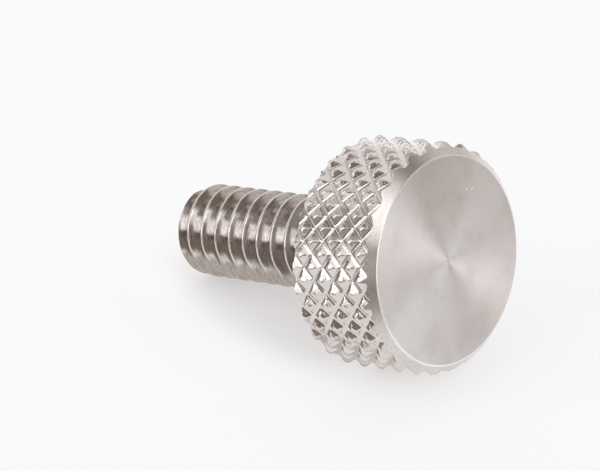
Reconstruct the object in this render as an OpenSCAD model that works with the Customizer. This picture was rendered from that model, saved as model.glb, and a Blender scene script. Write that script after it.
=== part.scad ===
// Knurled thumb screw, turned from one bar.
//
// The screw is drawn upright on its turning axis: the seat under the head is at z = 0,
// the head rises above it and the shank hangs below it. It is then laid down on the
// corner of its head and the end of its thread, as it comes to rest on a table, with
// the face of the head towards +X.

/* [Head] */
// Diameter over the points of the knurl
head_d = 14.8; // [12:0.1:20]
// Length of the head along the axis
head_h = 6.5; // [5:0.1:10]
// Width of the bevel between the knurl and the face
face_bevel = 0.75; // [0.5:0.05:1.2]
// Width of the broken edge between the knurl and the seat
seat_bevel = 0.12; // [0.05:0.01:0.3]

/* [Knurl] */
// Number of left-hand grooves around the head
lh_grooves = 26; // [20:1:32]
// Number of right-hand grooves around the head
rh_grooves = 29; // [20:1:32]
// Angle of the left-hand grooves from the axis
lh_angle = 50.5; // [35:0.5:55]
// Angle of the right-hand grooves from the axis
rh_angle = 41.8; // [35:0.1:55]
// Depth of the grooves
knurl_depth = 0.32; // [0.15:0.01:0.5]
// Share of each diamond that its flat top covers, along its side
point_flat = 0.2; // [0.1:0.05:0.5]

/* [Thread] */
// Outside diameter of the thread
thread_d = 6.17; // [5:0.01:8]
// Distance from one turn of the thread to the next
thread_pitch = 1.27; // [0.8:0.01:1.5]
// Length of the shank from the seat to its end
shank_l = 14.9; // [10:0.1:30]
// Length of the plain collar between the seat and the thread
collar_l = 1.6; // [1:0.1:4]
// How much wider the plain collar is than the thread
collar_over = 0.04; // [0:0.01:0.3]
// Width of the bevel at the end of the shank
end_bevel = 0.3; // [0.1:0.05:0.6]
// Length of the bevel at the end of the shank
end_bevel_l = 0.5; // [0.3:0.05:1]

/* [Placing] */
// Turn of the knurl about the axis, in degrees
knurl_turn = -0.5; // [-10:0.1:10]
// Shift of the knurl along the axis
knurl_lift = -0.18; // [-0.8:0.01:0.8]
// Turn of the thread about the axis, in degrees
thread_turn = 259; // [0:1:359]

/* [Hidden] */
$fn = 96;

head_r = head_d / 2;
thread_r = thread_d / 2;
collar_r = thread_r + collar_over / 2;
// How far a cutting outline reaches past the metal that it trims
clear = 1;

// --- Knurl: two sets of helical grooves, counted from 0 up around the head ---
// A left-hand groove keeps lh_grooves * turns + lh_rise * z at its own number, and
// a right-hand one keeps rh_grooves * turns - rh_rise * z at its own number.
lh_rise = lh_grooves * tan(lh_angle) / (PI * head_d);
rh_rise = rh_grooves * tan(rh_angle) / (PI * head_d);
crossing = lh_grooves * rh_rise + rh_grooves * lh_rise;
// Distance along the axis between two points of the knurl in one row
row_step = (lh_grooves + rh_grooves) / crossing;
knurl_low = -row_step;
knurl_high = head_h + row_step;
// Diamonds along each right-hand ridge, enough to cover the head and a row past each end
ridge_cells = ceil((knurl_high - knurl_low) * crossing / rh_grooves) + 1;

// Number of the first left-hand groove that is drawn along right-hand groove j
function first_lh(j) = floor((knurl_low * crossing + lh_grooves * j) / rh_grooves);

// How many left-hand grooves the drawn band moves up between groove j and the next one
function shift(j) = first_lh(j + 1) - first_lh(j);

// Point of radius r where left-hand groove i crosses right-hand groove j
function at(i, j, r) =
    let (turns = (rh_rise * i + lh_rise * j) / crossing)
    let (z = (rh_grooves * i - lh_grooves * j) / crossing)
    [r * cos(360 * turns), r * sin(360 * turns), z];

// Place in the point list of crossing q of right-hand groove j
function valley(q, j) = (j % rh_grooves) * (ridge_cells + 1) + q;

valleys = [
    for (j = [0 : rh_grooves - 1])
        for (q = [0 : ridge_cells])
            at(first_lh(j) + q, j, head_r - knurl_depth)
];

// Place in the point list of corner k of the flat on diamond q of ridge j
function flat_at(q, j, k) = len(valleys) + 4 * (j * ridge_cells + q) + k;

flats = [
    for (j = [0 : rh_grooves - 1])
        for (q = [0 : ridge_cells - 1])
            for (side = [[-1, -1], [1, -1], [1, 1], [-1, 1]])
                at(
                    first_lh(j) + q + (1 + side[0] * point_flat) / 2,
                    j + (1 + side[1] * point_flat) / 2,
                    head_r
                )
];

apexes = [[0, 0, knurl_low], [0, 0, knurl_high]];
low_apex = len(valleys) + len(flats);
high_apex = low_apex + 1;

// Eight side triangles and two top triangles of the diamond q of ridge j
function diamond(q, j) =
    let (s = shift(j))
    let (base = [valley(q, j), valley(q + 1, j), valley(q + 1 - s, j + 1), valley(q - s, j + 1)])
    let (top = [for (k = [0 : 3]) flat_at(q, j, k)])
    concat(
        [[top[0], top[1], top[2]], [top[0], top[2], top[3]]],
        [for (k = [0 : 3]) [base[k], base[(k + 1) % 4], top[(k + 1) % 4]]],
        [for (k = [0 : 3]) [base[k], top[(k + 1) % 4], top[k]]]
    );

// Edges of the band between right-hand groove j and the next one, closed to the axis
function low_edge(j) =
    let (s = shift(j))
    concat(
        [for (q = [0 : 1 : s - 1]) [low_apex, valley(q, j), valley(q + 1, j)]],
        [[low_apex, valley(s, j), valley(0, j + 1)]]
    );
function high_edge(j) =
    let (s = shift(j))
    let (top = ridge_cells)
    concat(
        [[high_apex, valley(top - s, j + 1), valley(top, j)]],
        [for (q = [top - s : 1 : top - 1]) [high_apex, valley(q + 1, j + 1), valley(q, j + 1)]]
    );

module knurled_bar() {
    translate([0, 0, knurl_lift]) rotate([0, 0, knurl_turn])
        polyhedron(
            points = concat(valleys, flats, apexes),
            faces = [
                for (j = [0 : rh_grooves - 1])
                    each concat(
                        [for (q = [shift(j) : ridge_cells - 1]) each diamond(q, j)],
                        low_edge(j),
                        high_edge(j)
                    )
            ]
        );
}

// Outline that faces the two ends of the head and bevels their edges
module head_outline() {
    polygon([
        [0, 0],
        [head_r - seat_bevel, 0],
        [head_r + clear, seat_bevel + clear],
        [head_r + clear, head_h - face_bevel - clear],
        [head_r - face_bevel, head_h],
        [0, head_h]
    ]);
}

module head() {
    intersection() {
        knurled_bar();
        rotate_extrude() head_outline();
    }
}

// --- Thread: a ridge of trapezoid section wound to the right around a core ---
crest_flat = thread_pitch / 8;
flank_angle = 30;
thread_depth = 0.6134 * thread_pitch;
core_r = thread_r - thread_depth;
// The ridge is sunk this far into the core
sink = 0.08;
steps_per_turn = 24;
ridge_low = -shank_l - thread_pitch;
ridge_high = -collar_l / 2;
ridge_steps = ceil((ridge_high - ridge_low) / thread_pitch * steps_per_turn);

// Half the width of the ridge at radius r
function half_width(r) = crest_flat / 2 + (thread_r - r) * tan(flank_angle);

section = [
    for (corner = [[core_r - sink, -1], [thread_r, -1], [thread_r, 1], [core_r - sink, 1]])
        [corner[0], corner[1] * half_width(corner[0])]
];

ridge_points = [
    for (k = [0 : ridge_steps])
        let (turn = thread_turn + 360 * k / steps_per_turn)
        let (z = ridge_low + thread_pitch * k / steps_per_turn)
        for (corner = section)
            [corner[0] * cos(turn), corner[0] * sin(turn), z + corner[1]]
];

module thread_ridge() {
    last = 4 * ridge_steps;
    polyhedron(
        points = ridge_points,
        faces = concat(
            [[3, 2, 1, 0], [for (c = [0 : 3]) last + c]],
            [
                for (k = [0 : ridge_steps - 1])
                    for (c = [0 : 3])
                        let (a = 4 * k + c)
                        let (b = 4 * k + (c + 1) % 4)
                        each [[a, b, b + 4], [a, b + 4, a + 4]]
            ]
        )
    );
}

// Outline that faces the end of the shank and bevels its edge
module end_outline() {
    slope = end_bevel / end_bevel_l;
    reach = clear + end_bevel;
    polygon([
        [0, -shank_l],
        [thread_r - end_bevel, -shank_l],
        [thread_r - end_bevel + reach, -shank_l + reach / slope],
        [thread_r - end_bevel + reach, 0],
        [0, 0]
    ]);
}

module threaded_shank() {
    intersection() {
        union() {
            translate([0, 0, -shank_l]) cylinder(h = shank_l, r = core_r);
            thread_ridge();
        }
        rotate_extrude() end_outline();
    }
}

module collar() {
    translate([0, 0, -collar_l]) cylinder(h = collar_l + head_h / 2, r = collar_r);
}

// --- Resting place: on the rim of the seat and the last full turn of the thread ---
// Radius of the seat where its edge, cut across the knurl, meets the table
rim_r = head_r - knurl_depth / 4;
lie_tilt = atan2(rim_r - thread_r, shank_l - end_bevel_l);
rest_h = rim_r * cos(lie_tilt);
face_x = (head_r - face_bevel) * sin(lie_tilt) + head_h * cos(lie_tilt);
end_x = -(thread_r - end_bevel) * sin(lie_tilt) - shank_l * cos(lie_tilt);

module lie_down() {
    translate([-(face_x + end_x) / 2, 0, rest_h])
        rotate([0, 90 - lie_tilt, 0])
            children();
}

module thumb_screw() {
    color("silver")
        lie_down() {
            union() {
                head();
                collar();
                threaded_shank();
            }
        }
}

thumb_screw();
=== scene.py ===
"""Dresses the knurled thumb screw: its head, its thread, their turned steel and a pale studio."""

import logging
import math
from collections.abc import Callable
from dataclasses import dataclass
from enum import Enum

import bmesh
import bpy
import numpy as np
from mathutils import Matrix, Vector

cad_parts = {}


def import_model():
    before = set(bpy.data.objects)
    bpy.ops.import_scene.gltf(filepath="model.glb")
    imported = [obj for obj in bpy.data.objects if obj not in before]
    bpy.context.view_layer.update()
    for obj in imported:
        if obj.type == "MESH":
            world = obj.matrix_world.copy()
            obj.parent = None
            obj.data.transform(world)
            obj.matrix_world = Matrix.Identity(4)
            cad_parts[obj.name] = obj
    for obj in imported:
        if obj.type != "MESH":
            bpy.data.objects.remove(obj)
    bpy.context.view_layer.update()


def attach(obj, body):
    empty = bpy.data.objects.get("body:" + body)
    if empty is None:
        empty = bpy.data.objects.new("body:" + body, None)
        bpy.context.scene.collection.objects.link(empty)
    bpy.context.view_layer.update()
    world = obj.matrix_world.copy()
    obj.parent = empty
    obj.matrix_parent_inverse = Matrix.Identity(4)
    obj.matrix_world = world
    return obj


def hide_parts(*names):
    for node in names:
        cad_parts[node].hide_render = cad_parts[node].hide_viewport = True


LOG = logging.getLogger("thumb_screw")
BODY = "root"
NODE = "thumb_screw"
MM = 0.001
FULL_TURN = 2 * math.pi
WELD = 2e-8
"""Points closer than this, in metres, are one point."""
ON_LINE = 1e-7
SAME_LEVEL = 1e-6
"""Points closer than these, in millimetres, to a dividing line or a level are on it."""
LIP = 0.05
"""Depth of the hollows that the flat ends sit in, in millimetres."""
END_THICKNESS = 0.04

Array = np.ndarray
Colour = tuple[float, float, float, float]
Triple = tuple[float, float, float]
Pair = tuple[float, float]
Profile = tuple[Pair, ...]
Outline = list[Pair]
"""The (radius, level) pairs of a turned outline, in millimetres."""


class Zone(Enum):
    """Finishes of the metal: knurl and thread, bevels and collar, flat ends, the face's worn corner."""

    FORMED = 0
    TURNED = 1
    FACED = 2
    WORN = 3


Finishes = dict[Zone, bpy.types.Material]


# --- Shader maths ---


class Value:
    """A shader value on which ordinary arithmetic adds the Math nodes."""

    def __init__(self, tree: "ShaderTree", socket: bpy.types.NodeSocket | None) -> None:
        """Keeps the output socket and the tree that it is in."""
        self.tree = tree
        self.socket = socket

    def sibling(self, output: str) -> "Value":
        """Another output of the same node."""
        return Value(self.tree, self.socket.node.outputs[output])

    def math(self, operation: str, *others: "float | Value") -> "Value":
        """The result of a Math node on this value and the others."""
        return self.tree.add("ShaderNodeMath", {"operation": operation}, dict(enumerate((self, *others))))

    def __add__(self, other: "float | Value") -> "Value":
        """self + other, and other + self."""
        return self.math("ADD", other)

    __radd__ = __add__

    def __sub__(self, other: "float | Value") -> "Value":
        """self - other."""
        return self.math("SUBTRACT", other)

    def __rsub__(self, other: float) -> "Value":
        """other - self."""
        return self.tree.add("ShaderNodeMath", {"operation": "SUBTRACT"}, {0: other, 1: self})

    def __mul__(self, other: "float | Value") -> "Value":
        """self * other, and other * self."""
        return self.math("MULTIPLY", other)

    __rmul__ = __mul__

    def clamped(self) -> "Value":
        """This value held between 0 and 1."""
        return self.tree.add("ShaderNodeClamp", {}, {0: self})

    def eased(self, low: float, high: float, start: float = 0.0, end: float = 1.0) -> "Value":
        """A smooth step from start to end while this value goes from low to high."""
        settings = {"interpolation_type": "SMOOTHSTEP"}
        return self.tree.add("ShaderNodeMapRange", settings, {0: self, 1: low, 2: high, 3: start, 4: end})


class ShaderTree:
    """A material's or world's node tree, filled from Python expressions."""

    def __init__(self, owner: bpy.types.Material | bpy.types.World) -> None:
        """Empties the owner's tree.

        Args:
            owner: the material or world whose nodes are written.
        """
        owner.use_nodes = True
        self.nodes = owner.node_tree.nodes
        self.links = owner.node_tree.links
        self.nodes.clear()

    def add(
        self, kind: str, settings: dict[str, object], inputs: dict[object, object], output: object = 0
    ) -> Value:
        """Adds one node.

        Args:
            kind: the node's type.
            settings: its properties.
            inputs: plain values or Values for its sockets, by name or number.
            output: the output that is returned, by name or number.

        Returns:
            That output as a Value.
        """
        node = self.nodes.new(kind)
        for name, setting in settings.items():
            setattr(node, name, setting)
        for name, given in inputs.items():
            if isinstance(given, Value):
                self.links.new(given.socket, node.inputs[name])
            else:
                node.inputs[name].default_value = given
        return Value(self, node.outputs[output] if node.outputs else None)

    def vector(self, operation: str, *parts: object, output: object = 0) -> Value:
        """Adds a Vector Math node over the parts."""
        return self.add("ShaderNodeVectorMath", {"operation": operation}, dict(enumerate(parts)), output)

    def scaled(self, vector: Value, scale: Triple) -> Value:
        """The vector with each part multiplied by its own number."""
        return self.vector("MULTIPLY", vector, scale)

    def length(self, vector: Value) -> Value:
        """The vector's length."""
        return self.vector("LENGTH", vector, output="Value")

    def reach(self, vector: Value, way: Triple) -> Value:
        """How far the vector goes along a way."""
        return self.vector("DOT_PRODUCT", vector, way, output="Value")

    def bump(self, height: Value, depth: float) -> Value:
        """A surface that a height of 1 raises by the depth in millimetres."""
        return self.add("ShaderNodeBump", {}, {"Strength": 1.0, "Distance": depth * MM, "Height": height})

    def mix(self, share: "float | Value", first: object, second: object) -> Value:
        """A colour of which the share is the second and the rest the first."""
        return self.add("ShaderNodeMix", {"data_type": "RGBA"}, {0: share, 6: first, 7: second}, output=2)

    def local(self, place: Matrix | None) -> Value:
        """Millimetres about the turning axis.

        Args:
            place: the lying axis, for a piece whose mesh is in the row frame; None for one that its
                object's own matrix lays down.

        Returns:
            The place as a vector whose third part runs along the axis.
        """
        spot = self.add("ShaderNodeTexCoord", {}, {}, output="Object")
        if place is None:
            return self.scaled(spot, (1 / MM, 1 / MM, 1 / MM))
        parts = {}
        for number, row in enumerate(list(place.inverted())[:3]):
            parts[number] = (self.reach(spot, tuple(row[:3])) + row[3]) * (1 / MM)
        return self.add("ShaderNodeCombineXYZ", {}, parts)


# --- Meshes ---


@dataclass
class Sheet:
    """A surface of triangles, in millimetres about the turning axis."""

    points: Array
    corners: Array
    zones: Array

    @classmethod
    def of(cls, points: Array, corners: Array, zone: Zone) -> "Sheet":
        """A sheet that is all one zone."""
        return cls(points, corners, np.full(len(corners), zone.value))

    def radius(self) -> Array:
        """Each point's distance from the axis."""
        return np.hypot(self.points[:, 0], self.points[:, 1])

    def kept(self, wanted: Array | slice) -> "Sheet":
        """The triangles that are wanted, with the points that they use.

        Args:
            wanted: True for each triangle that stays, or a slice of them.

        Returns:
            The smaller sheet.
        """
        corners = self.corners[wanted]
        used, renumbered = np.unique(corners, return_inverse=True)
        return Sheet(self.points[used], renumbered.reshape(corners.shape), self.zones[wanted])

    def parted(self, values: Array) -> tuple["Sheet", Array]:
        """Splits the triangles along the line where the values are 0.

        Args:
            values: one number for each point.

        Returns:
            The split sheet and the values at its points.
        """
        values = np.where(np.abs(values) < ON_LINE, 0.0, values)
        sign = np.sign(values)[self.corners]
        crossed = (sign.min(1) < 0) & (sign.max(1) > 0)
        parts, sign, zones = self.corners[crossed], sign[crossed], self.zones[crossed]
        touching = (sign == 0).any(1)
        alone = np.where(touching, (sign == 0).argmax(1), (sign == -np.sign(sign.sum(1))[:, None]).argmax(1))
        rolled = (np.arange(3) + alone[:, None]) % 3
        parts = np.take_along_axis(parts, rolled, 1)
        through, pairs = parts[touching], parts[~touching]
        edges = np.concatenate([through[:, [1, 2]], pairs[:, [0, 1]], pairs[:, [0, 2]]])
        unique, back = np.unique(np.sort(edges, 1), axis=0, return_inverse=True)
        near, far = values[unique[:, 0]], values[unique[:, 1]]
        share = (near / (near - far))[:, None]
        made = self.points[unique[:, 0]] * (1 - share) + self.points[unique[:, 1]] * share
        number = len(self.points) + back.reshape(-1)
        middle, left, right = np.split(number, (len(through), len(through) + len(pairs)))
        (first, second, third), (alone, one, other) = through.T, pairs.T
        made_of = [(first, second, middle), (first, middle, third)]
        made_of += [(alone, left, right), (left, one, other), (left, other, right)]
        corners = np.concatenate([self.corners[~crossed], *[np.stack(three, 1) for three in made_of]])
        zone = [self.zones[~crossed], zones[touching], zones[touching], *[zones[~touching]] * 3]
        sheet = Sheet(np.concatenate([self.points, made]), corners, np.concatenate(zone))
        return sheet, np.concatenate([values, np.zeros(len(made))])

    def turned_down(self, limit: Callable[[Array], Array]) -> "Sheet":
        """Turns the surface down to a largest radius, with a crisp edge round what is cut.

        Args:
            limit: the largest radius, from the distance along the axis.

        Returns:
            The cut sheet.
        """
        sheet, over = self.parted(self.radius() - limit(self.points[:, 2]))
        cut = over > 0
        scale = np.ones(len(over))
        scale[cut] = limit(sheet.points[cut, 2]) / sheet.radius()[cut]
        sheet.points[:, :2] *= scale[:, None]
        flat = (over[sheet.corners] >= 0).all(1)
        sheet.zones[flat] = Zone.TURNED.value
        return sheet

    def welded(self) -> "Sheet":
        """Makes points that lie together one.

        Returns:
            The sheet, in which its two ends meet.
        """
        keys = np.round(self.points / (WELD / MM)).astype(np.int64)
        _, first, back = np.unique(keys, axis=0, return_index=True, return_inverse=True)
        return Sheet(self.points[first], back.reshape(-1)[self.corners], self.zones)

    def between(self, low: float, high: float) -> "Sheet":
        """Cuts a stretch out of the surface.

        Args:
            low: where it starts along the axis.
            high: where it ends.

        Returns:
            The stretch.
        """
        sheet, over = self.parted(self.points[:, 2] - high)
        sheet = sheet.kept((over[sheet.corners] <= 0).all(1))
        sheet, over = sheet.parted(sheet.points[:, 2] - low)
        return sheet.kept((over[sheet.corners] >= 0).all(1))

    def rim(self, level: float) -> Array:
        """The points at one distance along the axis, in order round it."""
        found = self.points[np.abs(self.points[:, 2] - level) < SAME_LEVEL]
        return found[np.argsort(np.arctan2(found[:, 1], found[:, 0]))]

    @staticmethod
    def joined(*parts: "Sheet") -> "Sheet":
        """Puts several sheets together, not yet welded.

        Args:
            parts: the sheets.

        Returns:
            All of them as one.
        """
        start = np.cumsum([0, *[len(part.points) for part in parts[:-1]]])
        return Sheet(
            np.concatenate([part.points for part in parts]),
            np.concatenate([part.corners + first for part, first in zip(parts, start)]),
            np.concatenate([part.zones for part in parts]),
        )


def around(turn: Array, radius: float | Array, level: Array) -> Array:
    """A row of points from their turns about the axis, radii and distances along it."""
    return np.stack([np.cos(turn) * radius, np.sin(turn) * radius, level], -1).reshape(-1, 3)


def ring(radius: float, level: float, steps: int) -> Array:
    """A round of points about the axis, or its one point where the radius is 0."""
    steps = steps if radius else 1
    return around(np.arange(steps) / steps * FULL_TURN - math.pi, radius, np.full(steps, level))


def zipped(low: Array, high: Array, zone: Zone = Zone.TURNED) -> Sheet:
    """A band between two rounds of points that need not have the same number.

    Args:
        low: the round nearer the end of the shank, or the inner one of a face seen from there.
        high: the other round; either may be a single point.
        zone: the band's zone.

    Returns:
        The band, facing out.
    """
    ahead = []
    for points in (low, high):
        turn = np.arctan2(points[:, 1], points[:, 0])
        ahead.append(np.append(turn[1:], turn[0] + FULL_TURN) if len(points) > 1 else turn[1:])
    upper = np.argsort(np.concatenate(ahead), kind="stable") >= len(ahead[0])
    at_low, at_high = np.cumsum(~upper) - ~upper, np.cumsum(upper) - upper
    count = len(low)
    after = np.where(upper, count + (at_high + 1) % len(high), (at_low + 1) % count)
    corners = np.stack([at_low % count, after, count + at_high % len(high)], 1)
    return Sheet.of(np.concatenate([low, high]), corners, zone)


def revolved(outline: Outline, steps: int, zone: Zone = Zone.TURNED) -> Sheet:
    """Turns an outline, from low and outside to high and inside, about the axis; radius 0 ends it."""
    rounds = [ring(radius, level, steps) for radius, level in outline]
    return Sheet.joined(*[zipped(low, high, zone) for low, high in zip(rounds, rounds[1:])])


def recess(edge: float, level: float, depth: float) -> Outline:
    """The outline, from the axis out, of the hollow that a flat end sits in."""
    return [(0.0, level + depth), (edge - depth, level + depth), (edge, level)]


def flat_end(outline: Outline, steps: int) -> Sheet:
    """A faced end that looks along the shank, from its outline from the axis out, with its back."""
    back = recess(*outline[-1], END_THICKNESS)[::-1]
    return Sheet.joined(revolved(outline, steps, Zone.FACED), revolved(back, steps))


@dataclass(frozen=True)
class Ripple:
    """An even, smooth unevenness: a sum of waves in fixed random directions."""

    length: float
    """Length of a wave, in millimetres."""
    height: float
    seed: int
    waves: int = 14
    spread: Pair = (0.6, 1.5)
    """How much shorter and longer than one another the waves are."""

    def at(self, points: Array) -> Array:
        """The unevenness at some points.

        Args:
            points: places in millimetres.

        Returns:
            A height for each.
        """
        random = np.random.default_rng(self.seed)
        ways = random.normal(size=(self.waves, 3))
        ways /= np.linalg.norm(ways, axis=1)[:, None]
        ways *= FULL_TURN / self.length * random.uniform(*self.spread, (self.waves, 1))
        phases = random.uniform(0, FULL_TURN, self.waves)
        total = np.sin(points @ ways.T + phases).sum(1)
        return self.height * total * math.sqrt(2 / self.waves)


def as_object(
    name: str, sheet: Sheet, finishes: Finishes, place: Matrix, lying: bool, sharp: float = 30.0
) -> bpy.types.Object:
    """Makes a sheet an object.

    Args:
        name: the piece's name.
        sheet: its surface.
        finishes: the material of each of its zones.
        place: where its axis stands in the row frame.
        lying: True to lay the mesh itself down, False to leave that to the object's matrix, so that
            brushed finishes follow the axis.
        sharp: the angle between two faces, in degrees, over which their edge is crisp.

    Returns:
        The linked object.
    """
    points = sheet.points * MM
    if lying:
        points = points @ np.array(place.to_3x3()).T + np.array(place.translation)
    mesh = bpy.data.meshes.new(name)
    mesh.from_pydata(points.tolist(), [], sheet.corners.tolist())
    slots = np.zeros(len(Zone), dtype=np.int32)
    for number, (zone, material) in enumerate(finishes.items()):
        slots[zone.value] = number
        mesh.materials.append(material)
    mesh.polygons.foreach_set("material_index", slots[sheet.zones])
    shape = bmesh.new()
    shape.from_mesh(mesh)
    bmesh.ops.remove_doubles(shape, verts=shape.verts, dist=WELD)
    bmesh.ops.dissolve_degenerate(shape, edges=shape.edges, dist=WELD)
    bmesh.ops.recalc_face_normals(shape, faces=shape.faces)
    shape.to_mesh(mesh)
    shape.free()
    mesh.polygons.foreach_set("use_smooth", np.ones(len(mesh.polygons), dtype=bool))
    mesh.set_sharp_from_angle(angle=math.radians(sharp))
    mesh.update()
    piece = bpy.data.objects.new(name, mesh)
    bpy.context.scene.collection.objects.link(piece)
    if not lying:
        piece.matrix_world = place
    return piece


# --- Finishes ---


STEEL: Colour = (0.63, 0.605, 0.592, 1.0)
FACED_STEEL: Colour = (0.70, 0.675, 0.662, 1.0)
# Brighter steel for the worn, polished corner, which also paints the corner's highlight line brighter.
BRIGHT_STEEL: Colour = (0.80, 0.79, 0.785, 1.0)
NICK: Colour = (0.95, 0.94, 0.93, 1.0)
# The colour of grime, which also paints shade on the thread and at the lower right of the face.
GRIME_AND_SHADE: Colour = (0.30, 0.25, 0.21, 1.0)
HALF = 0.5
"""The middle level of a noise."""


@dataclass(frozen=True)
class Grain:
    """A noise in the metal."""

    scale: Triple
    """How many of its cells a millimetre holds, each way."""
    detail: float = 3.0
    roughness: float = 0.6

    def over(self, place: Value) -> Value:
        """The noise, from 0 to 1, over a place in millimetres."""
        inputs = {"Scale": 1.0, "Detail": self.detail, "Roughness": self.roughness}
        return place.tree.add("ShaderNodeTexNoise", {}, {0: place.tree.scaled(place, self.scale), **inputs})


def even(cells: float, detail: float = 3.0, roughness: float = 0.6) -> Grain:
    """A noise that is alike each way."""
    return Grain((cells, cells, cells), detail, roughness)


@dataclass(frozen=True)
class Spot:
    """A smudge, a patch of painted shade or a nick on the face, down and right of its middle, in
    millimetres.
    """

    down: float
    right: float
    reach: float
    share: float = 0.5
    core: float = 0.3
    """Its even middle, as a share of its reach."""

    def over(self, flat: Value) -> Value:
        """How much it shows over a place on the face."""
        away = flat.tree.length(flat.tree.vector("SUBTRACT", flat, (self.down, self.right, 0.0)))
        return away.eased(self.core * self.reach, self.reach, self.share, 0.0)


@dataclass(frozen=True)
class Steel:
    """A finish of the bare metal."""

    name: str

    def surface(self, local: Value) -> dict[str, object]:
        """The inputs of the metal's shader, over a place in millimetres about the axis."""
        raise NotImplementedError

    def made(self, place: Matrix | None) -> bpy.types.Material:
        """Builds the material.

        Args:
            place: as for ShaderTree.local.

        Returns:
            The material.
        """
        material = bpy.data.materials.new(self.name)
        tree = ShaderTree(material)
        inputs = {"Metallic": 1.0, **self.surface(tree.local(place))}
        shader = tree.add("ShaderNodeBsdfPrincipled", {}, inputs)
        tree.add("ShaderNodeOutputMaterial", {}, {"Surface": shader})
        return material


@dataclass(frozen=True)
class FacedSteel(Steel):
    """Steel that a tool has faced off in fine concentric marks."""

    roughness: float = 0.50
    anisotropy: float = 0.80
    stretch: float = 0.25
    """The way in which reflections stretch, in turns."""
    mark: float = 0.11
    """Distance between two coarse marks, in millimetres."""
    coarse: Grain = even(1.0, 1.0, 0.5)
    fine: Grain = even(3.0, 2.0, 0.5)
    """The two kinds of marks, by how many cells there are to the distance."""
    fine_share: float = 0.3
    depth: float = 0.0011
    """Height of the marks, in millimetres."""
    patches: Grain = even(0.35, 2.0, 0.5)
    marks_left: tuple[float, ...] = (0.3, 0.7, 0.5, 1.0)
    """How the patches fade the marks: two levels of the noise and the share left at each."""
    clouds: Grain = even(0.5, 4.0)
    clouded: tuple[float, ...] = (0.45, 0.8, 0.0, 0.14)
    """Two levels of their noise and the dirt at each."""
    uneven: Pair = (0.12, 0.06)
    """How much clouds and fine marks change the roughness."""
    metal: Colour = STEEL
    darker_way: Triple = (-0.75, 0.65, 0.0)
    # The way across the face to its darker side.
    """The way across the face to its stained side."""
    darkened: float = 0.0
    darkened_reach: float = 6.0
    # Where it is fully darkened, in millimetres from the middle.
    """Where it is fully stained, in millimetres from the middle."""
    pits: Grain = even(5.5, 3.0, 0.7)
    pitted: float = 0.5
    smudges_and_shade: tuple[Spot, ...] = ()
    broken: Pair = (0.4, 1.2)
    # What the clouds always leave of a smudge or of painted shade, and what they add to it.
    """What the clouds always leave of a smudge, and what they add to it."""
    nicks: tuple[Spot, ...] = ()

    def surface(self, local: Value) -> dict[str, object]:
        """Rings of marks, dulled by clouds, pits, a darker side, smudges and painted shade.

        Args:
            local: a place in millimetres about the axis.

        Returns:
            The shader's inputs.
        """
        tree = local.tree
        flat = tree.scaled(local, (1, 1, 0))
        parts = {0: tree.length(flat), 1: tree.reach(local, (0, 0, 1)), 2: 0.0}
        rings = tree.scaled(tree.add("ShaderNodeCombineXYZ", {}, parts), (1 / self.mark,) * 3)
        coarse, fine = self.coarse.over(rings), self.fine.over(rings)
        marks = coarse * (1 - self.fine_share) + fine * self.fine_share
        marks = marks * self.patches.over(local).eased(*self.marks_left)
        clouds = self.clouds.over(local)
        by_clouds, by_marks = self.uneven
        # The face grows darker towards one side.
        darkened = tree.reach(local, self.darker_way).eased(0.0, self.darkened_reach, 0.0, self.darkened)
        pits = (self.pits.over(local) - HALF).clamped() * self.pitted
        dirt_and_shade = clouds.eased(*self.clouded) + pits + darkened
        least, more = self.broken
        # The smudges darken the metal as dirt; on the face one of them is painted shade at its lower right.
        for smudge_or_shade in self.smudges_and_shade:
            dirt_and_shade = dirt_and_shade + smudge_or_shade.over(flat) * (least + clouds * more)
        colour = tree.mix(dirt_and_shade.clamped(), self.metal, GRIME_AND_SHADE)
        for nick in self.nicks:
            colour = tree.mix(nick.over(flat), colour, NICK)
        return {
            "Base Color": colour,
            "Roughness": self.roughness + (clouds - HALF) * by_clouds + (fine - HALF) * by_marks,
            "Anisotropic": self.anisotropy,
            "Anisotropic Rotation": self.stretch,
            "Normal": tree.bump(marks, self.depth),
        }


@dataclass(frozen=True)
class Layer:
    """A noise in grooved steel: its height as a bump, its roughness, and the darkening it brings, which is
    dirt and on the thread also painted shade.
    """

    grain: Grain
    height: float = 0.0
    top_height: float = 0.0
    floor_height: float = 0.0
    """What its height gains on the tops and in the floors."""
    roughness: float = 0.0
    clean: float = HALF
    # The level up to which it adds no darkening.
    """The level up to which it is clean."""
    dirt_and_shade: float = 0.0


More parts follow.
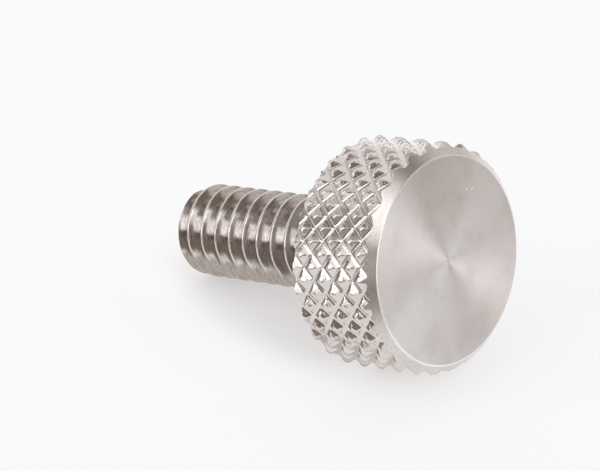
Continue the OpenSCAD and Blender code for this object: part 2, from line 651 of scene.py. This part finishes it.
@dataclass(frozen=True)
class GroovedSteel(Steel):
    """Steel with grooves formed in it, in millimetres."""

    outer: float
    depth: float
    tops: Pair = (0.35, 0.05)
    """Shares of the depth between which the tops begin."""
    floors: float = 0.6
    """Share of the depth at which the grooves' floors begin."""
    relief: float = 0.022
    """What a bump of height 1 stands for."""
    roughness: float = 0.12
    top_roughness: float = 0.0
    floor_roughness: float = 0.0
    # How much darker the grooves' floors are.
    floor_darkening: float = 0.05
    layers: tuple[Layer, ...] = ()

    def at(self, share: float) -> float:
        """The radius at a share of the depth."""
        return self.outer - share * self.depth

    def surface(self, local: Value) -> dict[str, object]:
        """Tops and floors by the radius, with the layers on them.

        Args:
            local: a place in millimetres about the axis.

        Returns:
            The shader's inputs.
        """
        tree = local.tree
        radius = tree.length(tree.scaled(local, (1, 1, 0)))
        top = radius.eased(*map(self.at, self.tops))
        floor = radius.eased(self.at(1), self.at(self.floors), 1.0, 0.0)
        rough = self.roughness + top * self.top_roughness + floor * self.floor_roughness
        height, dirt_and_shade = floor * 0.0, floor * self.floor_darkening
        for layer in self.layers:
            noise = layer.grain.over(local)
            height += noise * (layer.height + top * layer.top_height + floor * layer.floor_height)
            rough += (noise - HALF) * layer.roughness
            dirt_and_shade += (noise - layer.clean).clamped() * layer.dirt_and_shade
        # Grime, and on the thread painted shade, darken the steel.
        colour = tree.mix(dirt_and_shade.clamped(), STEEL, GRIME_AND_SHADE)
        return {"Base Color": colour, "Roughness": rough, "Normal": tree.bump(height, self.relief)}


@dataclass(frozen=True)
class RolledSteel(GroovedSteel):
    """Steel that a knurl has pressed up: streaked tops, torn sides and burnished grooves."""

    top_roughness: float = 0.05
    floor_roughness: float = -0.06
    layers: tuple[Layer, ...] = (
        Layer(Grain((1.2, 1.2, 16.0)), height=0.0525, top_height=0.0975),
        Layer(even(14.0), height=0.12, roughness=0.25),
        Layer(even(4.2, 2.0), height=0.8, floor_height=-0.7),
        Layer(even(0.9), clean=0.45, dirt_and_shade=0.5),
    )


@dataclass(frozen=True)
class CutSteel(GroovedSteel):
    """Steel of a cut thread, streaked along the thread, with grime and painted shade in its colour."""

    floors: float = 0.4
    relief: float = 0.0065
    roughness: float = 0.13
    floor_roughness: float = 0.03
    floor_darkening: float = 0.08
    # The first and third layers darken the thread in streaks and patches, partly as grime and partly as
    # painted shade where it mirrors its own shadow on the floor.
    layers: tuple[Layer, ...] = (
        Layer(Grain((1.0, 1.0, 18.0), 3.0, 0.65), height=1.0, clean=0.48, dirt_and_shade=2.6),
        Layer(Grain((9.0, 9.0, 14.0)), height=0.4, roughness=0.16),
        Layer(Grain((5.0, 5.0, 11.0), 4.0, 0.7), dirt_and_shade=2.4),
    )


# --- The screw ---


@dataclass
class KnurledHead:
    """The head: a formed diamond knurl between a bevelled face and a faced seat."""

    radius: float = 7.4
    height: float = 6.5
    bevel: float = 0.75
    seat_bevel: float = 0.12
    lh_grooves: int = 26
    rh_grooves: int = 29
    lh_angle: float = 50.5
    rh_angle: float = 41.8
    depth: float = 0.32
    turn: float = -0.5
    lift: float = -0.18
    corner: float = 0.18
    """Radius of the worn corner between the bevel and the face."""
    corner_turn: float = 45.0
    corner_steps: int = 6
    corner_body: int = 4
    """How many of them belong to the body; the rest is the face's."""
    seat_radius: float = 6.95
    face_rings: tuple[float, ...] = (5.2, 3.2, 1.2)
    seat_rings: tuple[float, ...] = (2.9, 4.6)
    pip: Profile = (
        (0.62, 0.0), (0.40, -0.012), (0.24, -0.028), (0.16, -0.008), (0.11, -0.006), (0.07, -0.032),
        (0.0, -0.036),
    )
    """Radius and rise of the middle of the face, where the tool stopped."""
    # The smudges on the face; the last spot is not dirt but a patch of painted shade at its lower right.
    smudges_and_shade: tuple[Spot, ...] = (
        Spot(-3.3, 1.3, 1.7, 0.13), Spot(5.0, 0.1, 1.7, 0.09), Spot(4.0, -2.6, 1.5, 0.08),
        Spot(-5.0, 0.4, 2.4, 0.08), Spot(4.8, 3.0, 2.4, 0.16),
    )
    nicks: tuple[Spot, ...] = (
        Spot(-3.60, 2.98, 0.13), Spot(-3.42, 3.36, 0.11), Spot(-3.48, 3.52, 0.09)
    )
    darkened: float = 0.30
    steps: int = 360
    """Points in a round of a turned surface."""
    sharp: float = 24.0
    margin: float = 0.45
    """How far the knurl runs past each end of the head, to be cut there."""
    half_cell: tuple[float, ...] = (0.0, 0.02, 0.06, 0.11, 0.14, 0.22, 0.34, 0.36, 0.42, 0.5)
    """Lines of the mesh from a groove to the middle of a diamond, as shares of the pitch."""
    slope: Profile = (
        (0.0, 0.0), (0.02, 0.25), (0.11, 0.34), (0.14, 1.0), (0.34, 1.0), (0.38, 0.25), (0.5, 0.0)
    )
    """Steepness of a groove's side at shares of the pitch: round floor, straight side, domed top."""
    slope_steps: int = 500
    lean: float = 0.06
    """How far the tops of the diamonds are pushed round, as a share of the pitch."""
    hip: float = 0.02
    """Roundness of the edges between the sides of a diamond, as a share of the pitch."""
    under: float = 0.012
    """How far the tops stay inside the head's radius."""
    uneven: Ripple = Ripple(2.3, 0.006, 3)
    uneven_share: float = 0.8
    worn: Ripple = Ripple(0.9, 0.05, 5)
    worn_share: float = 0.10
    """How much the wear changes the grooves' width, as a share of the pitch."""
    raised: Ripple = Ripple(0.22, 0.0022, 8)
    """Unevenness of the tops alone, drawn out by raised_scale."""
    raised_scale: Triple = (1.0, 1.0, 2.5)

    def __post_init__(self) -> None:
        """Works out how the two families of grooves climb."""
        girth = FULL_TURN * self.radius
        self.lh_rise = self.lh_grooves * math.tan(math.radians(self.lh_angle)) / girth
        self.rh_rise = self.rh_grooves * math.tan(math.radians(self.rh_angle)) / girth
        self.crossing = self.lh_grooves * self.rh_rise + self.rh_grooves * self.lh_rise

    def _profile(self, away: Array) -> Array:
        """The height of a diamond's side.

        Args:
            away: distances from the nearest groove, as shares of the pitch.

        Returns:
            The height over the groove's floor, from 0 to 1, at each.
        """
        fine = np.linspace(0, 0.5, self.slope_steps + 1)
        steep = np.interp(fine, *zip(*self.slope))
        height = np.concatenate([[0], np.cumsum((steep[1:] + steep[:-1]) / 2)])
        return np.interp(away, fine, height / height[-1])

    def _knurled(self) -> Sheet:
        """Makes the knurled surface on the skewed net of its grooves, left-hand ones u, right-hand ones v.

        Returns:
            The surface, a margin past each end of the head.
        """
        half = np.array(self.half_cell)
        peak = 0.5 + self.lean
        cell = np.concatenate([2 * peak * half, 1 - 2 * (1 - peak) * half[-2:0:-1]])
        many = len(cell)
        climb = self.crossing / self.rh_grooves
        spare = self.margin + abs(self.lift)
        low_u = math.floor(-spare * climb) - 1
        high_u = self.lh_grooves + math.ceil((self.height + spare) * climb) + 1
        columns = np.arange((high_u - low_u) * many + 1)
        rows = np.arange(self.rh_grooves * many + 1)
        u, v = np.meshgrid(low_u + columns // many + cell[columns % many], rows // many + cell[rows % many])
        level = (self.rh_grooves * u - self.lh_grooves * v) / self.crossing + self.lift
        turn = FULL_TURN * ((self.rh_rise * u + self.lh_rise * v) / self.crossing) + math.radians(self.turn)
        past = (u - np.floor(u), v - np.floor(v))
        near_u, near_v = (np.minimum(part / (2 * peak), (1 - part) / (2 * (1 - peak))) for part in past)
        away = 0.5 * (near_u + near_v - np.hypot(near_u - near_v, self.hip))
        smooth = around(turn, self.radius, level)
        uneven, worn = (ripple.at(smooth).reshape(u.shape) for ripple in (self.uneven, self.worn))
        raised = self.raised.at(smooth * self.raised_scale).reshape(u.shape)
        height = self._profile(np.clip(away + worn * self.worn_share, 0, 0.5))
        sunk = self.depth * (1 - height) + self.under + uneven * self.uneven_share + raised * height
        points = around(turn, self.radius - np.clip(sunk, 0.0, None), level)
        numbers = np.arange(u.size).reshape(u.shape)
        quads = np.stack([numbers[:-1, :-1], numbers[:-1, 1:], numbers[1:, 1:], numbers[1:, :-1]], -1)
        start = level[:-1, :-1]
        cells = (start > -self.margin) & (start < self.height + self.margin)
        part_u, part_v = (columns[:-1] % many)[None, :], (rows[:-1] % many)[:, None]
        straight = (part_u < many // 2) == (part_v < many // 2)
        one, two = quads[cells & straight], quads[cells & ~straight]
        corners = np.concatenate(
            [one[:, [0, 1, 2]], one[:, [0, 2, 3]], two[:, [0, 1, 3]], two[:, [1, 2, 3]]]
        )
        return Sheet.of(points, corners, Zone.FORMED).kept(slice(None))

    def surface(self) -> Sheet:
        """The body of the head.

        Returns:
            The closed surface, with the outer part of the worn corner.
        """
        worn, _ = self._corner()
        bevel_radius, bevel_level = worn[0]
        edge, top = worn[-1]
        side = self._knurled().welded()
        side = side.turned_down(lambda level: bevel_radius + bevel_level - level)
        side = side.turned_down(lambda level: self.radius - self.seat_bevel + level)
        side = side.between(0.0, bevel_level)
        closed = [(edge, top), (edge - LIP, top - LIP), (0.0, top - LIP)]
        return Sheet.joined(
            side,
            zipped(side.rim(bevel_level), ring(bevel_radius, bevel_level, self.steps)),
            revolved(worn, self.steps, Zone.WORN),
            revolved(closed, self.steps),
            revolved(recess(self.seat_radius, 0.0, LIP), self.steps),
            zipped(ring(self.seat_radius, 0.0, self.steps), side.rim(0.0)),
        )

    def _corner(self) -> tuple[Outline, Outline]:
        """The worn corner between the bevel and the face.

        Returns:
            Its outer part, on the body, and its inner part, on the face.
        """
        inset = self.corner * math.tan(math.radians(self.corner_turn / 2))
        across, up = self.radius - self.bevel - inset, self.height - self.corner
        outline = []
        for number in range(self.corner_steps + 1):
            turn = math.radians(90 - self.corner_turn * (1 - number / self.corner_steps))
            outline.append((across + self.corner * math.cos(turn), up + self.corner * math.sin(turn)))
        return outline[: self.corner_body + 1], outline[self.corner_body :]

    def face(self) -> Sheet:
        """The faced end with the inner part of its worn corner and the tool's pip.

        Returns:
            The surface, closed at the back.
        """
        _, worn = self._corner()
        edge, top = worn[0]
        low = top - END_THICKNESS
        back = [(0.0, low), (edge - END_THICKNESS, low), (edge, top)]
        flat = [(radius, self.height) for radius in (worn[-1][0], *self.face_rings)]
        flat += [(radius, self.height + rise) for radius, rise in self.pip]
        return Sheet.joined(
            revolved(back, self.steps, Zone.WORN),
            revolved(worn, self.steps, Zone.WORN),
            revolved(flat, self.steps, Zone.FACED),
        )

    def seat(self) -> Sheet:
        """The faced seat."""
        outline = [(radius, 0.0) for radius in (0.0, *self.seat_rings, self.seat_radius)]
        return flat_end(outline, self.steps)

    def build(self, place: Matrix) -> list[bpy.types.Object]:
        """Makes the head and gives it its finishes.

        Args:
            place: where the screw's axis stands in the row frame.

        Returns:
            The knurled body, the face and the seat.
        """
        rolled = RolledSteel("rolled_knurl", self.radius, self.depth).made(place)
        bevel = FacedSteel("turned_bevel", roughness=0.28, anisotropy=0.0, pitted=1.8).made(place)
        # The worn corner's brighter steel also paints its highlight line.
        corner = FacedSteel("worn_corner_highlight", roughness=0.30, anisotropy=0.0, metal=BRIGHT_STEEL)
        faced = FacedSteel(
            "faced_end", metal=FACED_STEEL, darkened=self.darkened, smudges_and_shade=self.smudges_and_shade, nicks=self.nicks
        )
        seat = FacedSteel("faced_seat", metal=FACED_STEEL)
        body = {Zone.FORMED: rolled, Zone.TURNED: bevel, Zone.WORN: corner.made(place)}
        face = {Zone.FACED: faced.made(None), Zone.WORN: corner.made(None)}
        under = {Zone.FACED: seat.made(None), Zone.TURNED: bevel}
        return [
            as_object("knurled_head", self.surface(), body, place, lying=True, sharp=self.sharp),
            as_object("faced_end", self.face(), face, place, lying=False, sharp=self.sharp),
            as_object("faced_seat", self.seat(), under, place, lying=False, sharp=self.sharp),
        ]


@dataclass
class ThreadedShank:
    """The shank: a plain collar that runs out into a coarse right-hand thread."""

    radius: float = 3.085
    pitch: float = 1.27
    length: float = 14.8998
    collar_length: float = 1.6
    collar_radius: float = 3.105
    collar_step: float = 0.03
    end_bevel: float = 0.3
    end_bevel_length: float = 0.5
    turn: float = 259.0
    root: float = 0.35
    """How far the shank reaches into the head."""
    tip_radius: float = 2.1
    """Radius of the flat at the end, inside the thread's groove."""
    dimple: Profile = (
        (0.0, 0.03), (0.10, 0.026), (0.19, 0.012), (0.24, 0.0), (0.8, 0.0), (1.5, 0.0)
    )
    """Radius and rise of the middle of the flat end."""
    thread_steps: int = 120
    steps: int = 180
    depth_share: float = 0.6134
    crest_share: float = 0.125
    flank_angle: float = 30.0
    half_profile: tuple[float, ...] = (
        0.0, 0.035, 0.052, 0.064, 0.078, 0.11, 0.19, 0.28, 0.36, 0.395, 0.425, 0.46, 0.5
    )
    """Lines of the mesh from the middle of a crest to the middle of a groove, in pitches."""
    corner: float = 0.028
    """How round the crest's corners and the groove's floor are, in pitches."""
    past_tip: float = 1.6
    """How far the thread runs past the tip, in pitches, to be cut there."""
    runout: float = 0.75
    """Length in which the groove grows shallow, in pitches."""
    runout_end: float = 0.15
    under: float = 0.004
    """How far the crests stay inside the thread's radius."""
    uneven: Ripple = Ripple(1.1, 0.0035, 21)
    uneven_radius: float = 3.0
    """Radius at which that unevenness is read."""

    def _cut(self, away: Array) -> Array:
        """The profile of the thread.

        Args:
            away: distances from the middle of a crest, in pitches.

        Returns:
            The depth at each, in pitches.
        """
        steep = 1 / math.tan(math.radians(self.flank_angle))
        flank = (away - self.crest_share / 2) * steep
        above = 0.5 * (flank + np.sqrt(flank**2 + self.corner**2))
        return 0.5 * (above + self.depth_share - np.sqrt((above - self.depth_share) ** 2 + self.corner**2))

    def _thread(self) -> Sheet:
        """The thread's surface.

        Returns:
            The surface, past both of its ends, with its run-out under the collar.
        """
        half = np.array(self.half_profile)
        profile = np.concatenate([half, 1 - half[-2::-1]])
        low = -self.length - self.past_tip * self.pitch
        rounds = math.ceil((-low + self.pitch) / self.pitch)
        along = np.arange(rounds * self.thread_steps + 1) / self.thread_steps
        turns, across = np.meshgrid(along, profile, indexing="ij")
        level = low + self.pitch * (turns + across)
        start = FULL_TURN * (low + self.length + self.pitch) / self.pitch
        turn = FULL_TURN * turns + math.radians(self.turn) + start
        uneven = self.uneven.at(around(turn, self.uneven_radius, level)).reshape(turns.shape)
        cut = self._cut(np.minimum(across, 1 - across)) * self.pitch
        clear = np.clip((-self.collar_length + self.runout_end - level) / (self.runout * self.pitch), 0, 1)
        cut = cut * (1 - (1 - clear) ** 2)
        radius = np.minimum(self.radius - self.under - cut + uneven, self.radius)
        numbers = np.arange(turns.size).reshape(turns.shape)
        quads = np.stack([numbers[:-1, :-1], numbers[1:, :-1], numbers[1:, 1:], numbers[:-1, 1:]], -1)
        quads = quads.reshape(-1, 4)
        corners = np.concatenate([quads[:, [0, 1, 2]], quads[:, [0, 2, 3]]])
        return Sheet.of(around(turn, radius, level), corners, Zone.FORMED)

    def surface(self) -> Sheet:
        """The body of the shank.

        Returns:
            The closed surface.
        """
        slope = self.end_bevel / self.end_bevel_length
        end_radius = self.radius - self.end_bevel
        top, tip = -self.collar_length, -self.length
        side = self._thread().welded()
        side = side.turned_down(lambda level: end_radius + slope * (level + self.length))
        side = side.between(tip, top)
        edge = top + self.collar_step
        collar = [(self.collar_radius, edge), (self.collar_radius, self.root), (0.0, self.root)]
        return Sheet.joined(
            side,
            zipped(side.rim(top), ring(self.collar_radius, edge, self.steps)),
            revolved(collar, self.steps),
            revolved(recess(self.tip_radius, tip, LIP), self.steps),
            zipped(ring(self.tip_radius, tip, self.steps), side.rim(tip)),
        )

    def tip(self) -> Sheet:
        """The faced end of the shank with its centre dimple."""
        outline = [(radius, rise - self.length) for radius, rise in (*self.dimple, (self.tip_radius, 0.0))]
        return flat_end(outline, self.steps)

    def build(self, place: Matrix) -> list[bpy.types.Object]:
        """Makes the shank and gives it its finishes.

        Args:
            place: where the screw's axis stands in the row frame.

        Returns:
            The threaded body and the faced tip.
        """
        cut = CutSteel("cut_thread", self.radius, self.depth_share * self.pitch).made(place)
        collar = FacedSteel("turned_collar", roughness=0.24, anisotropy=0.0).made(place)
        tip = FacedSteel("faced_tip", roughness=0.40, anisotropy=0.85).made(None)
        body = {Zone.FORMED: cut, Zone.TURNED: collar}
        flat = {Zone.FACED: tip, Zone.TURNED: tip}
        return [
            as_object("threaded_shank", self.surface(), body, place, lying=True),
            as_object("faced_tip", self.tip(), flat, place, lying=False),
        ]


@dataclass
class Lie:
    """How the screw lies: on the rim of its head and the end of its thread."""

    head: KnurledHead
    shank: ThreadedShank
    rim_share: float = 0.25
    """Share of the knurl's depth by which the resting rim is inside its points."""

    def __post_init__(self) -> None:
        """Works out the axis of the lying screw."""
        rim = self.head.radius - self.head.depth * self.rim_share
        run = self.shank.length - self.shank.end_bevel_length
        self.tilt = math.atan2(rim - self.shank.radius, run)
        sine, cosine = math.sin(self.tilt), math.cos(self.tilt)
        face = (self.head.radius - self.head.bevel) * sine + self.head.height * cosine
        end = -(self.shank.radius - self.shank.end_bevel) * sine - self.shank.length * cosine
        self.seat = Vector((-(face + end) / 2, 0.0, rim * cosine))

    def place(self) -> Matrix:
        """The matrix that lays an upright piece down, from millimetres of the seat to metres."""
        return Matrix.Translation(self.seat * MM) @ Matrix.Rotation(math.pi / 2 - self.tilt, 4, "Y")


# --- The studio ---


@dataclass(frozen=True)
class Glow:
    """A soft round light in the surroundings, from an even inner radius to a faded outer one, in degrees."""

    azimuth: float
    elevation: float
    inner: float
    outer: float
    strength: float

    def direction(self) -> Triple:
        """The way to its middle."""
        turn, rise = math.radians(self.azimuth), math.radians(self.elevation)
        return (math.cos(rise) * math.cos(turn), math.cos(rise) * math.sin(turn), math.sin(rise))


@dataclass(frozen=True)
class Patch:
    """A soft oval of painted shade on the floor, in millimetres, and the colour that metal sees there."""

    middle: Pair
    reach: Pair
    colour: Colour

    def fade(self, spot: Value, start: float, end: float) -> Value:
        """Goes from 0 to 1 as a place on the floor leaves the oval.

        Args:
            spot: the place, in metres.
            start: the share of the reach up to which it is 0.
            end: the share from which it is 1.

        Returns:
            The eased value.
        """
        middle, reach = ((x * MM, y * MM, z) for (x, y), z in ((self.middle, 0.0), (self.reach, 1.0)))
        tree = spot.tree
        inside = tree.vector("DIVIDE", tree.vector("SUBTRACT", spot, middle), reach)
        return tree.length(inside).eased(start, end)


@dataclass
class Studio:
    """A pale floor and backdrop, soft lights and the camera."""

    backdrop: Colour = (0.955, 0.955, 0.955, 1.0)
    walls: Triple = (0.25, 0.195, 0.16)
    glow_tint: Triple = (0.985, 1.0, 1.015)
    glows: tuple[tuple[float, ...], ...] = (
        (-119, 24, 9, 16, 2.6), (-97, 42, 6, 12, 1.15), (-118, 42, 9, 19, 2.2), (-112, 59, 6, 14, 1.3),
        (-147, 16, 6, 13, 0.95), (-165, 56, 9, 20, 0.3), (-67, 15, 7, 14, 0.9), (-82, 29, 5, 11, 1.2),
        (-76, 72, 7, 15, 0.4), (-130, 6, 9, 14, 2.0), (-132, 70, 6, 13, 1.0), (-50, 18, 6, 12, 0.6),
        (58, 18, 14, 24, 0.45), (-38, 47, 9, 15, 1.4), (-18, 56, 8, 15, 2.3), (6, 68, 8, 16, 0.95),
        (0, 39, 7, 15, 1.1), (8, 27, 8, 16, 1.1), (14, 14, 8, 16, 1.5), (14, 3, 12, 21, 2.25),
        (112, 8, 18, 42, 0.62), (142, 22, 24, 34, 0.85), (140, 48, 9, 14, 0.65), (175, 26, 14, 30, 0.65),
        (-168, 22, 8, 18, 0.95), (85, 32, 10, 25, 0.6), (112, 66, 7, 15, 0.8), (-135, 84, 6, 14, 0.8),
        (40, 86, 8, 14, 1.2),
    )
    """The fields of each Glow."""
    lens: float = 190.67
    sensor: float = 36.0
    clip: Pair = (0.01, 10.0)
    elevation: float = 31.9226
    azimuth: float = 41.2212
    unit: float = 7.4
    aim: Triple = (1.2519, 0.2115, 26.8096)
    """How far the middle of the face stands left of the view's middle, above it and before it, in units."""
    floor_radius: float = 2.0
    floor_steps: int = 96
    floor_colour: Colour = (0.80, 0.83, 0.87, 1.0)
    floor_glow: float = 1.46
    """Strength of the floor's own light."""
    floor_mirrored: float = 0.52
    """Share of that light in what metal sees."""
    floor_warmth: Colour = (1.02, 1.0, 0.985, 1.0)
    """What metal sees of the floor beside the screw."""
    # A painted contact shadow beside the screw: a darker, warmer floor light for the eye.
    painted_shadow_colour: Colour = (0.92, 0.90, 0.885, 1.0)
    floor_near_seen: float = 0.33
    # Share of the floor's own light in what the eye sees beside the screw, lower than in the open for a
    # painted contact shadow.
    """Share of the light in what the eye sees beside the screw."""
    floor_open: Colour = (0.714, 0.716, 0.720, 1.0)
    floor_open_seen: float = 0.72
    painted_shadow: Patch = Patch((-3.0, 0.0), (15.0, 8.0), painted_shadow_colour)
    nearby_fade: Pair = (0.45, 1.0)
    front: Triple = (0.6, -0.8, 0.0)
    """The way from the screw to the open front of the studio."""
    front_fade: Pair = (18.0, 44.0)
    """Millimetres towards the front between which metal sees the floor get darker."""
    front_colour: Colour = (0.31, 0.275, 0.25, 1.0)
    deep_colour: Colour = (0.31, 0.265, 0.235, 1.0)
    # Painted shade: what metal sees of the floor in the mirror of other metal, darker as under the screw.
    """What metal sees of the floor in the mirror of other metal."""
    deep_from: Pair = (1.4, 1.6)
    """Numbers of mirrors between which a look becomes such a deep one."""
    patches: tuple[Patch, ...] = (
        Patch((-46.0, -62.0), (38.0, 48.0), (0.45, 0.40, 0.37, 1.0)),
        Patch((9.0, -105.0), (15.0, 76.0), (0.26, 0.22, 0.19, 1.0)),
        Patch((-3.0, -3.0), (13.0, 5.5), (0.46, 0.43, 0.40, 1.0)),
    )
    # Painted shade that metal sees on the floor: a dim stretch to the front left, a shade further out in
    # front, and the screw's contact shadow where it lies.
    """Darker places that metal sees on the floor."""
    patch_fade: Pair = (0.8, 1.12)

    def build_world(self) -> None:
        """Makes the surroundings: a white backdrop for the eye, and walls with soft lights for metal."""
        world = bpy.data.worlds.new("studio")
        bpy.context.scene.world = world
        tree = ShaderTree(world)
        way = tree.add("ShaderNodeTexCoord", {}, {}, output="Generated")
        level: Value | float = 0.0
        for glow in (Glow(*row) for row in self.glows):
            edge, middle = (math.cos(math.radians(angle)) for angle in (glow.outer, glow.inner))
            lit = tree.reach(way, glow.direction()).eased(edge, middle, 0.0, glow.strength)
            level = lit.math("MAXIMUM", level)
        tinted = {part: level * tint for part, tint in enumerate(self.glow_tint)}
        glowing = tree.add("ShaderNodeCombineXYZ", {}, tinted)
        ray = tree.add("ShaderNodeLightPath", {}, {}, output="Is Camera Ray")
        colour = tree.mix(ray, tree.vector("ADD", glowing, self.walls), self.backdrop)
        light = tree.add("ShaderNodeBackground", {}, {"Color": colour, "Strength": 1.0})
        tree.add("ShaderNodeOutputWorld", {}, {"Surface": light})

    def build_floor(self) -> None:
        """Makes the floor, which keeps the screw's shadow, with a painted contact shadow beside it and
        painted shade that only metal sees.
        """
        disc = revolved([(self.floor_radius / MM, 0.0), (0.0, 0.0)], self.floor_steps, Zone.FORMED)
        material = bpy.data.materials.new("studio_floor")
        tree = ShaderTree(material)
        spot = tree.add("ShaderNodeTexCoord", {}, {}, output="Object")
        eye = tree.add("ShaderNodeLightPath", {}, {}, output="Is Camera Ray")
        metal = eye.sibling("Is Glossy Ray")
        cover = tree.reach(spot, self.front).eased(*(away * MM for away in self.front_fade))
        mirrored = tree.mix(cover, self.floor_warmth, self.front_colour)
        # Each patch paints shade into what metal sees of the floor.
        for patch in self.patches:
            shaded = 1 - patch.fade(spot, *self.patch_fade)
            mirrored = tree.mix(shaded, mirrored, patch.colour)
            cover = cover.math("MAXIMUM", shaded)
        # Painted shade where metal mirrors the floor through other metal.
        deep = eye.sibling("Ray Depth").eased(*self.deep_from)
        mirrored = tree.mix(deep, mirrored, self.deep_colour)
        cover = cover.math("MAXIMUM", deep)
        # Beside the screw the floor paints a contact shadow for the eye.
        away = self.painted_shadow.fade(spot, *self.nearby_fade)
        colour = tree.mix(metal, tree.mix(away, self.painted_shadow_colour, self.floor_open), mirrored)
        seen = self.floor_near_seen + away * (self.floor_open_seen - self.floor_near_seen)
        share = eye * seen + metal * (self.floor_mirrored + cover * (1 - self.floor_mirrored))
        matt = tree.add("ShaderNodeBsdfDiffuse", {}, {"Color": self.floor_colour})
        glow = tree.add("ShaderNodeEmission", {}, {"Color": colour, "Strength": self.floor_glow})
        surface = tree.add("ShaderNodeMixShader", {}, {0: share, 1: matt, 2: glow})
        tree.add("ShaderNodeOutputMaterial", {}, {"Surface": surface})
        floor = as_object("studio_floor", disc, {Zone.FORMED: material}, Matrix(), lying=True)

    def build_camera(self, face_centre: Vector) -> None:
        """Makes the camera and points it as the view asks.

        Args:
            face_centre: the middle of the head's face, in metres.
        """
        data = bpy.data.cameras.new("view")
        data.sensor_width, data.lens = self.sensor, self.lens
        data.clip_start, data.clip_end = self.clip
        camera = bpy.data.objects.new("view", data)
        bpy.context.scene.collection.objects.link(camera)
        across, down, before = (part * self.unit * MM for part in self.aim)
        turn = Matrix.Rotation(math.radians(self.azimuth), 4, "Z")
        turn @= Matrix.Rotation(math.radians(90 - self.elevation), 4, "X")
        spot = face_centre + turn.to_3x3() @ Vector((-across, down, before))
        camera.matrix_world = Matrix.Translation(spot) @ turn
        bpy.context.scene.camera = camera
        bpy.context.scene.view_settings.view_transform = "Standard"


def main() -> None:
    """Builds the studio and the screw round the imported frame."""
    logging.basicConfig(level=logging.INFO, format="%(name)s: %(message)s")
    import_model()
    head = KnurledHead()
    shank = ThreadedShank()
    lie = Lie(head, shank)
    studio = Studio()
    studio.build_camera(lie.place() @ Vector((0, 0, head.height * MM)))
    studio.build_world()
    studio.build_floor()
    for part in (head, shank):
        for piece in part.build(lie.place()):
            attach(piece, BODY)
            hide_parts(NODE)
            LOG.info("%s: %d faces", piece.name, len(piece.data.polygons))


if __name__ == "__main__":
    main()
